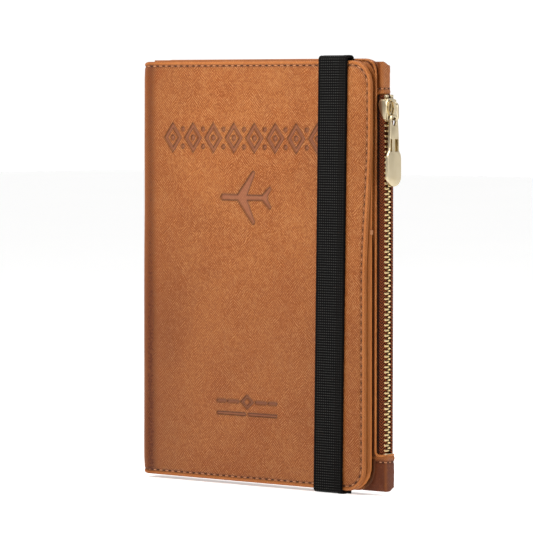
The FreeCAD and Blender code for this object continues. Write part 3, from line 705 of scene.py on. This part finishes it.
def makeBand():
    low, high = nodeSpan("elastic_band")
    front, back, foot, head = low.y + 0.1, high.y, low.z + 0.12, high.z - 0.12
    along, spots = curvedPath(((back, head - band["tuck"]), (back, head), (front, head),
                               (front, foot), (back, foot), (back, foot + band["tuck"])), band["bends"], band["row"] / 4)
    wide, thick = band["wide"], band["thick"]
    bm = gridSheet(spaced(0, wide, 0.5, (0.1, 0.3), (0.1, 0.3)), list(along))
    turnEdge(bm, (0.0, wide, 0.0, along[-1], 0.0),
             ((-0.1, 0.12), (-0.14, thick / 2), (-0.1, thick - 0.12), (0.0, thick)))
    points = readPoints(bm)
    across = points[:, 0]
    rise = band["ridge"] * np.cos(2 * math.pi * points[:, 1] / band["row"])
    for line in band["lines"]:
        rise -= 0.14 * bell(across, line, 0.16)
    rise += 0.1 * ease(9.7, 10.3, across) + 0.05 * lumps(points, 22, 8.0)
    # darker near one edge, along the second groove line, over the strip beyond it and at the far edge
    darkBands = np.clip(ease(1.0, 0.5, across) * 0.8 + bell(across, band["lines"][1], 0.3)
                      + 0.5 * ease(9.9, 10.3, across) + 0.4 * ease(11.9, 12.2, across), 0, 1)
    cloth = points[:, :2].copy()
    points[:, 2] = np.where(points[:, 2] > -1e-9, rise, points[:, 2])
    sheet = wrapSheet(points[:, (1, 0, 2)], (along, spots))
    middle = (foot + head) / 2
    height = np.interp(points[:, 1], along, spots[:, 1])
    x = (low.x + high.x - wide) / 2 + across + band["lean"] * (height - middle) / (head - middle)
    writePoints(bm, np.stack([x, sheet[:, 0], sheet[:, 1]], 1))
    addPiece("elasticBand", bm, "rear_cover", elastic, ("elastic_band",), {"shade": darkBands},
             cloth=cloth, blendWith=("elastic_band", (88.0, back + 0.1, 72.0), (88.0, front + 0.9, 72.0)))


makeBand()
print("band made")


pouchLow = nodeSpan("pouch_front_leather")[0]
pouch = {"cut": 104.6, "low": 12.0, "high": 133.0, "rear": 3.7, "faceTop": 144.85, "rimFar": 109.2, "rimThick": 0.85}


def makePouchFace():
    # the flat of the pouch behind the sleeve, from the spine side to the cut-out
    rim = 0.25
    outline = (pouchLow.x + rim, pouch["cut"] - rim, pouchLow.z + rim + 0.2, pouch["faceTop"] - rim, 7.5)
    bm = gridSheet(spaced(outline[0], outline[1], 2.5), spaced(outline[2], outline[3], 2.5))
    roundFore(bm, outline[1], outline[2], outline[3], outline[4])
    turnEdge(bm, outline, roundRim(rim, 0.6), close=True)
    points = readPoints(bm)
    layFlat(bm, points, pouchLow.y, -1)
    # paler at the rim from edge wear and painted highlight; shadow is painted shade on the pouch face in the open
    # pocket below the bar tack
    shadow = 0.95 * ease(98, 101, points[:, 0]) * ease(88, 82, points[:, 1])
    addPiece("pouchFrontLeather", bm, "rear_cover", leather, ("pouch_front_leather",),
             {"wearAndHighlight": 0.5 * bell(edgeDistance(points, outline), 0, 0.3), "outline": shadow}, 50)


tabs = {
    "topTab": {"foot": 133.0, "head": 143.9, "reach": 107.3, "back": 107.05, "level": 0.55, "slope": 1.2, "seam": 1.9,
               "hem": 1, "dent": 1.3, "wornAndLit": 1.0, "node": "tab_thread_top"},
    "bottomTab": {"foot": 0.35, "head": 12.3, "reach": 109.4, "back": 109.1, "level": 0.1, "slope": 1.1, "seam": 2.1,
                  "hem": -1, "dent": 0.25, "wornAndLit": 0.6, "node": "tab_thread_bottom"},
}
tabStart = 99.0


def makeTab(name):
    # a tab over the end of the zip: across the front, round a soft corner and back to the rear cover
    tab = tabs[name]
    foot, head, level, upper = tab["foot"], tab["head"], pouchLow.y + tab["level"], tab["hem"] > 0
    path = curvedPath(((tabStart, level), (tab["reach"], level - 0.02), (tab["back"], pouch["rear"])), 1.3, 0.2)
    length, corner = path[0][-1], tab["reach"] - tabStart
    fine = (0.1, 0.22, 0.4)
    bm = gridSheet(spaced(0.0, length, 0.3, fineEnd=fine), spaced(foot, head, 0.3, fine=fine, fineEnd=fine))
    turnEdge(bm, (None, length, foot, head, 0.0), ((0.0, 0.45), (0.25, 0.62), (3.0, 0.62)))
    points = readPoints(bm)
    s, z = points[:, 0], points[:, 1].copy()
    gap = np.minimum(z - foot, head - z)
    hemGap = z - foot if upper else head - z
    rise = -np.where(gap < 0.35, 0.35 - np.sqrt(np.maximum(0.35 ** 2 - (0.35 - gap) ** 2, 0)), 0)
    # the hem at the zip's side is a rolled ridge over a stitched groove
    rise += 0.22 * bell(hemGap, 0.8, 0.55) - 0.25 * bell(hemGap, tab["seam"], 0.38)
    rise += 0.16 * lumps(points, 2.6, 5.0 + foot) * ease(0.4, 1.6, hemGap)
    rise += tab["dent"] * 0.28 * bell(s, corner - 0.6, 0.7) * ease(1.5, 4.0, hemGap)
    rise -= tab["dent"] * 0.30 * bell(s, corner - 2.3, 0.8) * ease(1.5, 4.5, hemGap)
    outer = points[:, 2] > -1e-9
    points[:, 2] = np.where(outer, rise, points[:, 2])
    if upper:
        points[:, 1] -= tab["slope"] * ease(corner, length, s) * ease(foot + 4, head, z)
        # a little darker all over and much darker before the corner: painted shade
        burnishAndShade = 0.2 + 0.7 * ease(corner + 0.5, corner - 2.0, s)
    else:
        points[:, 1] += tab["slope"] * ease(corner + 1.5, length, s) * ease(head - 4, foot, z)
        lip = ease(corner - 0.6, corner + 0.4, s) * ease(corner + 1.6, corner + 0.6, s)
        points[:, 1] += 0.5 * lip * ease(0.9, 0.2, hemGap)
        # darker all over, most above the hem: painted shade where the tab lies in the front cover's shadow
        burnishAndShade = 0.7 + 0.6 * ease(0.8, 2.6, hemGap)
    # paler along the hem and on the corner: edge wear and painted highlight; the dark seam line is painted shade in its
    # groove
    wearAndHighlight = 0.8 * bell(hemGap, 0, 0.9) + 0.5 * bell(s, corner - 0.3, 0.5)
    values = {"wearAndHighlight": np.clip(wearAndHighlight, 0, 1) * tab["wornAndLit"], "burnishAndShade": burnishAndShade * outer,
              "outline": 0.6 * bell(hemGap, tab["seam"], 0.3)}
    writePoints(bm, wrapSheet(points, path))
    addPiece(name, bm, "rear_cover", leather, values=values)
    height = foot + tab["seam"] if upper else head - tab["seam"]
    for part, material, size, shift, used in (
            ("Thread", thread, (1.3, 0.4, 0.34), 0.0, (tab["node"],)), ("NeedleHoles", hole, (0.9, 0.45, 0.3), 1.1, ())):
        bm = bmesh.new()
        spots = [(corner - 2.6 + shift + i * 2.2, height, 0.0) for i in range(4)]
        if part == "NeedleHoles" and upper:
            spots.append((corner - 3.3, head - 2.2, 1.2))
        sewn(bm, [p for p in spots if p[0] < length - 0.5], *size, -0.12)
        writePoints(bm, wrapSheet(readPoints(bm), path))
        addPiece(name + part, bm, "rear_cover", material, used)


def makePouchRim():
    # the turned edge of the pouch's leather: round the top corner, down the cut-out and out along
    # the bottom tab
    bm = bmesh.new()
    y, cut, high, low = pouchLow.y + 0.12, pouch["cut"] + 0.1, pouch["faceTop"] - 0.4, pouch["low"] + 0.35
    corners = ((95.0, y, high), (cut, y, high), (cut, y, low), (107.9, y, low),
               (pouch["rimFar"], y + 1.2, low + 0.15), (pouch["rimFar"], y + 4.2, low + 0.35))
    sweep(bm, curvedPath(corners, (9.5, 2.8, 0.8, 0.8), 0.4)[1], pouch["rimThick"], pouch["rimThick"])
    height = np.array([v.co.z for v in bm.verts])
    # paler all along and more toward the foot: edge wear and painted highlight
    addPiece("pouchCutOutRim", bm, "rear_cover", leather, values={"wearAndHighlight": 0.5 + 0.4 * ease(70, 40, height)})


makePouchFace()
for name in tabs:
    makeTab(name)
makePouchRim()
print("pouch made")


zipMiddle = 1.65
tape = {"start": 98.5, "thick": 0.3, "turnIn": 1.3, "stand": {-1: 1.93, 1: 2.05}, "bend": {-1: 108.05, 1: 108.75}}
tooth = {"pitch": 1.75, "long": 2.35, "high": 0.74, "bevel": 0.24, "inset": 0.2, "taper": 0.12}


def makeTape(name, node, side):
    # woven tape that comes out of the pouch and turns to lie along the row of teeth
    low, high = nodeSpan(node)
    level, bend = zipMiddle + side * tape["stand"][side], tape["bend"][side]
    path = curvedPath(((tape["start"], level), (bend, level), (bend, level - side * tape["turnIn"])), 0.45, 0.15)
    bm = gridSheet(list(path[0]), spaced(low.z, high.z, 1.5))
    bmesh.ops.solidify(bm, geom=bm.faces[:], thickness=tape["thick"])
    points = readPoints(bm)
    points[:, 2] -= points[:, 2].max()
    points[:, 2] *= -side
    writePoints(bm, wrapSheet(points, path))
    # painted shadow on the front tape where it comes out from under the pouch rim
    shade = 0.9 * ease(7.7, 7.2, points[:, 0]) * (side < 0)
    addPiece(name, bm, "rear_cover", zipCloth, (node,), {"shade": shade}, cloth=points[:, :2])


def makeTeeth(name, node, side):
    # die-cast teeth clamped on the tape's edge, reaching past the middle between their opposites
    low, high = nodeSpan(node)
    bm = bmesh.new()
    half, back = tooth["high"] / 2, tooth["inset"] if side > 0 else 0
    outer = low.y if side < 0 else high.y - back
    ends = sorted((outer, outer - side * (tooth["long"] - back)))
    z = high.z - half - (tooth["pitch"] / 2 if side > 0 else 0)
    while z - half >= low.z - 0.3:
        softBox(bm, (low.x + tooth["inset"], ends[0], z - half),
                (high.x - tooth["inset"], ends[1], z + half), tooth["bevel"])
        z -= tooth["pitch"]
    # the legs are a little wider than the neck, and the head is rounded over
    for v in bm.verts:
        if abs(v.co.y - outer) > 0.85 * tooth["long"] and v.co.x > (low.x + high.x) / 2:
            v.co.x -= tooth["taper"]
    addPiece(name, bm, "rear_cover", toothGold, (node,))


def makeStop(name, node):
    low, high = nodeSpan(node)
    bm = bmesh.new()
    softBox(bm, low, high, min(high.z - low.z, high.x - low.x) * 0.28, 3)
    addPiece(name, bm, "rear_cover", gold, (node,))


for half, side in (("front", -1), ("rear", 1)):
    makeTape("zipTape" + half.title(), "zip_tape_" + half, side)
for half, side in (("front", -1), ("rear", 1)):
    makeTeeth("zipTeeth" + half.title(), "zip_teeth_" + half, side)
makeStop("zipTopStopFront", "zip_top_stop_front")
makeStop("zipTopStopRear", "zip_top_stop_rear")
makeStop("zipBottomStop", "zip_bottom_stop")

sliderLow, sliderHigh = nodeSpan("slider_body")
crownLow, crownHigh = nodeSpan("slider_crown")
pullLow, pullHigh = nodeSpan("zip_puller")


def plateFrom(bm, outlines, x, thick, bevel):
    # a flat plate in y and z with holes, thick in x, its rims bevelled
    edges = []
    for loop in outlines:
        verts = [bm.verts.new((x, y, z)) for y, z in loop]
        edges += [bm.edges.new((a, b)) for a, b in zip(verts, verts[1:] + verts[:1])]
    filled = bmesh.ops.triangle_fill(bm, edges=edges, use_beauty=True)["geom"]
    out = bmesh.ops.extrude_face_region(bm, geom=[g for g in filled if isinstance(g, bmesh.types.BMFace)])["geom"]
    raised = [g for g in out if isinstance(g, bmesh.types.BMVert)]
    bmesh.ops.translate(bm, vec=(thick, 0, 0), verts=raised)
    own = {v for e in edges for v in e.verts} | set(raised)
    mine = [f for f in bm.faces if all(v in own for v in f.verts)]
    bmesh.ops.recalc_face_normals(bm, faces=mine)
    sharp = [e for e in bm.edges if e.verts[0] in own and e.is_manifold and e.calc_face_angle() > 1.0
             and abs(e.verts[0].co.x - e.verts[1].co.x) < 1e-6]
    bmesh.ops.bevel(bm, geom=sharp, offset=bevel, segments=2, profile=0.5, affect="EDGES", material=-1)


def mirrored(half, middle):
    # a closed loop from a half outline of (half width, height), top to bottom
    return [(middle + w, z) for w, z in half] + [(middle - w, z) for w, z in reversed(half) if w > 1e-6]


def oval(y, z, wide, tall, count):
    # a loop of (y, z) places
    angles = [2 * math.pi * i / count for i in range(count)]
    return [(y + wide / 2 * math.cos(a), z + tall / 2 * math.sin(a)) for a in angles]


slider = {  # outlines are (half width or reach, drop below the head); a drop of None is the foot
    "shield": ((0.0, 0.0), (1.1, 0.05), (2.0, 0.35), (2.45, 1.0), (2.8, 2.0), (2.78, 3.2), (2.45, 4.6), (2.2, 6.0),
               (2.05, 6.8), (1.7, 7.3), (1.2, 7.5), (0.0, 7.5)),
    "cheek": ((3.3, 0.5), (1.2, 0.25), (0.4, 0.8), (0.0, 2.0), (0.2, 3.2), (0.9, 4.6), (1.5, 5.9), (2.0, 7.0), (3.3, 7.15)),
    "plate": 0.75, "inner": 0.7, "cheekThick": 0.6, "ringAside": 0.75,
}


def makeSlider():
    bm = bmesh.new()
    head, half, face = sliderHigh.z, (sliderHigh.y - sliderLow.y) / 2, sliderHigh.x
    shield = [(w, head - drop) for w, drop in slider["shield"]]
    plateFrom(bm, [mirrored(shield, zipMiddle)], face - 0.85, slider["plate"], 0.28)
    # the inner plate fits between the tapes; a wedge that parts the teeth joins it to the outer
    plateFrom(bm, [mirrored([(w * 0.5, z) for w, z in shield], zipMiddle)], sliderLow.x, slider["inner"], 0.2)
    softBox(bm, (sliderLow.x + 0.4, zipMiddle - 0.45, head - 3.0), (face - 0.4, zipMiddle + 0.45, head - 0.15), 0.2)
    # cheeks down both sides keep the rows of teeth in; they narrow towards the foot
    cheek = [(sliderLow.x + 0.1 + reach, head - drop) for reach, drop in slider["cheek"]]
    for side in (-1, 1):
        known = set(bm.verts)
        plateFrom(bm, [cheek], 0.0, slider["cheekThick"], 0.22)
        for v in set(bm.verts) - known:
            v.co = (v.co.y, zipMiddle + side * (half - 0.02 - v.co.x), v.co.z)
    addPiece("sliderBody", bm, "zip_slider", gold, ("slider_body",), sharp=25)
    # a raised ring round the locking pin, and the arch that holds the puller
    bm = bmesh.new()
    x, y = face - 0.05, zipMiddle - slider["ringAside"]
    ring = [(x, *spot) for spot in oval(y, head - 3.3, 2.9, 5.0, 20)]
    sweep(bm, ring + ring[:1], 0.5, 0.7, 8, 1.0)
    sweep(bm, [(x + out, y, head - drop) for out, drop in ((0, 1.9), (0.2, 2.4), (0.2, 4.2), (0, 4.7))], 0.5, 0.5, 8)
    addPiece("sliderPinRing", bm, "zip_slider", darkGold)
    bm = bmesh.new()
    arch = ((face - 0.3, zipMiddle, crownHigh.z - 0.4), (crownHigh.x + 0.45, zipMiddle, crownHigh.z - 0.5),
            (crownHigh.x + 0.5, zipMiddle, crownLow.z + 0.3), (face - 0.3, zipMiddle, crownLow.z + 0.45))
    sweep(bm, curvedPath(arch, (2.2, 0.9), 0.25)[1], 1.3, 0.4, 10, 0.9)
    addPiece("sliderCrown", bm, "zip_slider", gold, ("slider_crown",), sharp=50)


puller = {  # the outline's (half width, drop below the head), down to the paddle's round end
    "neck": ((0.0, 0.0), (0.9, 0.08), (1.45, 0.4), (1.75, 1.2), (1.9, 3.0), (2.1, 5.0), (2.3, 8.0), (2.42, 12.0),
             (2.75, 12.6), (3.1, 13.1), (3.35, 13.8), (3.47, 14.8), (3.5, 16.0)),
    "slots": ((-1.55, 0.75), (1.05, 1.5)), "slotTop": 8.2, "slotFoot": 12.3, "eye": (2.1, 2.9),
}


def makePuller():
    bm = bmesh.new()
    head, foot, wide = pullHigh.z, pullLow.z, (pullHigh.y - pullLow.y) / 2
    outline = [(w, head - drop) for w, drop in puller["neck"]]
    outline += [(wide * math.cos(a), foot + wide - wide * math.sin(a)) for a in [math.pi / 2 * i / 9 for i in range(9)]]
    slots = []
    for aside, width in puller["slots"]:
        left, right = zipMiddle + aside - width / 2, zipMiddle + aside + width / 2
        low, high = head - puller["slotFoot"], head - puller["slotTop"]
        slots.append([(left, low), (right, low), (right, high), (left, high)])
    eye = oval(zipMiddle - 0.1, head - 2.35, *puller["eye"], 16)
    plateFrom(bm, [mirrored(outline + [(0.0, foot)], zipMiddle), eye, *slots], pullLow.x, pullHigh.x - pullLow.x, 0.16)
    # a darker gold plate inside the puller, seen through its two windows: painted shade
    windowShade = bmesh.new()  # the dark back of the two windows
    softBox(windowShade, (pullLow.x + 0.2, zipMiddle - 2.1, head - 12.5), (pullLow.x + 0.45, zipMiddle + 2.05, head - 8.0), 0.08)
    addPiece("pullerWindowShade", windowShade, "zip_puller", darkGold)
    addPiece("zipPuller", bm, "zip_puller", gold, ("zip_puller",), sharp=25)


makeSlider()
makePuller()
print("zip made")


def makeBartack():
    low, high = nodeSpan("side_seam_bartack")
    bm = bmesh.new()
    path = ((0.7, low.y - 0.1), (0.1, low.y), (0.0, (low.y + high.y) / 2), (0.1, high.y), (0.7, high.y + 0.1))
    for z in np.linspace(low.z + 0.2, high.z - 0.2, 5):
        sweep(bm, [(high.x - back, y, z) for back, y in path], 0.36, 0.36, 8)
    addPiece("sideSeamBartack", bm, "front_cover", thread, ("side_seam_bartack",))


makeBartack()


studio = {
    "azimuth": math.radians(42.41), "elevation": math.radians(2.457), "distance": 1.3891, "lens": 275.4,
    "target": (0.002555, -0.004075, 0.07547), "floorGlow": 0.45, "surround": 1.05, "dim": (0.07, 0.07, 0.072, 1),
    "lights": {  # place, size, power, colour
        "keySoftbox": ((-0.05, -0.22, 0.345), 0.22, 1.15, "#fffaf4"),
        "sideSoftbox": ((0.9, 0.1, 0.4), 0.5, 4.0, "#ffffff"),
        "topSoftbox": ((0.0, 0.25, 1.2), 0.8, 3.0, "#ffffff")},
}
toward = Vector((math.sin(studio["azimuth"]) * math.cos(studio["elevation"]),
                 -math.cos(studio["azimuth"]) * math.cos(studio["elevation"]), math.sin(studio["elevation"])))


def makeStudio():
    scene = bpy.context.scene
    bm = bmesh.new()
    bmesh.ops.create_grid(bm, x_segments=1, y_segments=1, size=4.0)
    mesh = bpy.data.meshes.new("paleFloor")
    bm.to_mesh(mesh)
    bm.free()
    # matte painted sweep, nearly white
    mesh.materials.append(twoTone("paleFloor", 1000 / 6, ((0.3, colour("#f7f7f6")), (0.7, colour("#fbfbfa"))), 0.0, {
        "Roughness": 0.9, "Emission Color": grey(1), "Emission Strength": studio["floorGlow"]}))
    floor = bpy.data.objects.new("paleFloor", mesh)
    floor.location.z = cadBox[0].z
    scene.collection.objects.link(floor)
    # white all round, dimmer on the viewer's side so that metal and black keep their shape
    world = bpy.data.worlds.new("studioWorld")
    scene.world = world
    world.use_nodes = True
    tree = world.node_tree
    around = addNode(tree, "TexCoord", {}, "Generated")
    facing = addNode(tree, "VectorMath", {0: around, 1: -toward}, "Value", operation="DOT_PRODUCT")
    share = addNode(tree, "Math", {0: facing, 1: 0.5, 2: 0.5}, operation="MULTIPLY_ADD")
    tint = addNode(tree, "ValToRGB", {0: share}, stops=((0.42, studio["dim"]), (0.62, grey(1))))
    plug(tree, tree.nodes["Background"], {"Color": tint, "Strength": studio["surround"]})
    for name, (spot, size, power, shade) in studio["lights"].items():
        light = bpy.data.lights.new(name, "AREA")
        light.size, light.energy, light.color = size, power, colour(shade)[:3]
        lamp = bpy.data.objects.new(name, light)
        lamp.location = spot
        lamp.rotation_euler = (Vector((0, 0, 0.075)) - Vector(spot)).to_track_quat("-Z", "Y").to_euler()
        scene.collection.objects.link(lamp)
    camera = bpy.data.objects.new("camera", bpy.data.cameras.new("camera"))
    camera.data.lens, camera.data.sensor_width = studio["lens"], 36.0
    camera.location = Vector(studio["target"]) + toward * studio["distance"]
    camera.rotation_euler = toward.to_track_quat("Z", "Y").to_euler()
    scene.collection.objects.link(camera)
    scene.camera = camera
    scene.view_settings.view_transform = "Standard"
    scene.view_settings.look = "None"


makeStudio()
print("studio made")
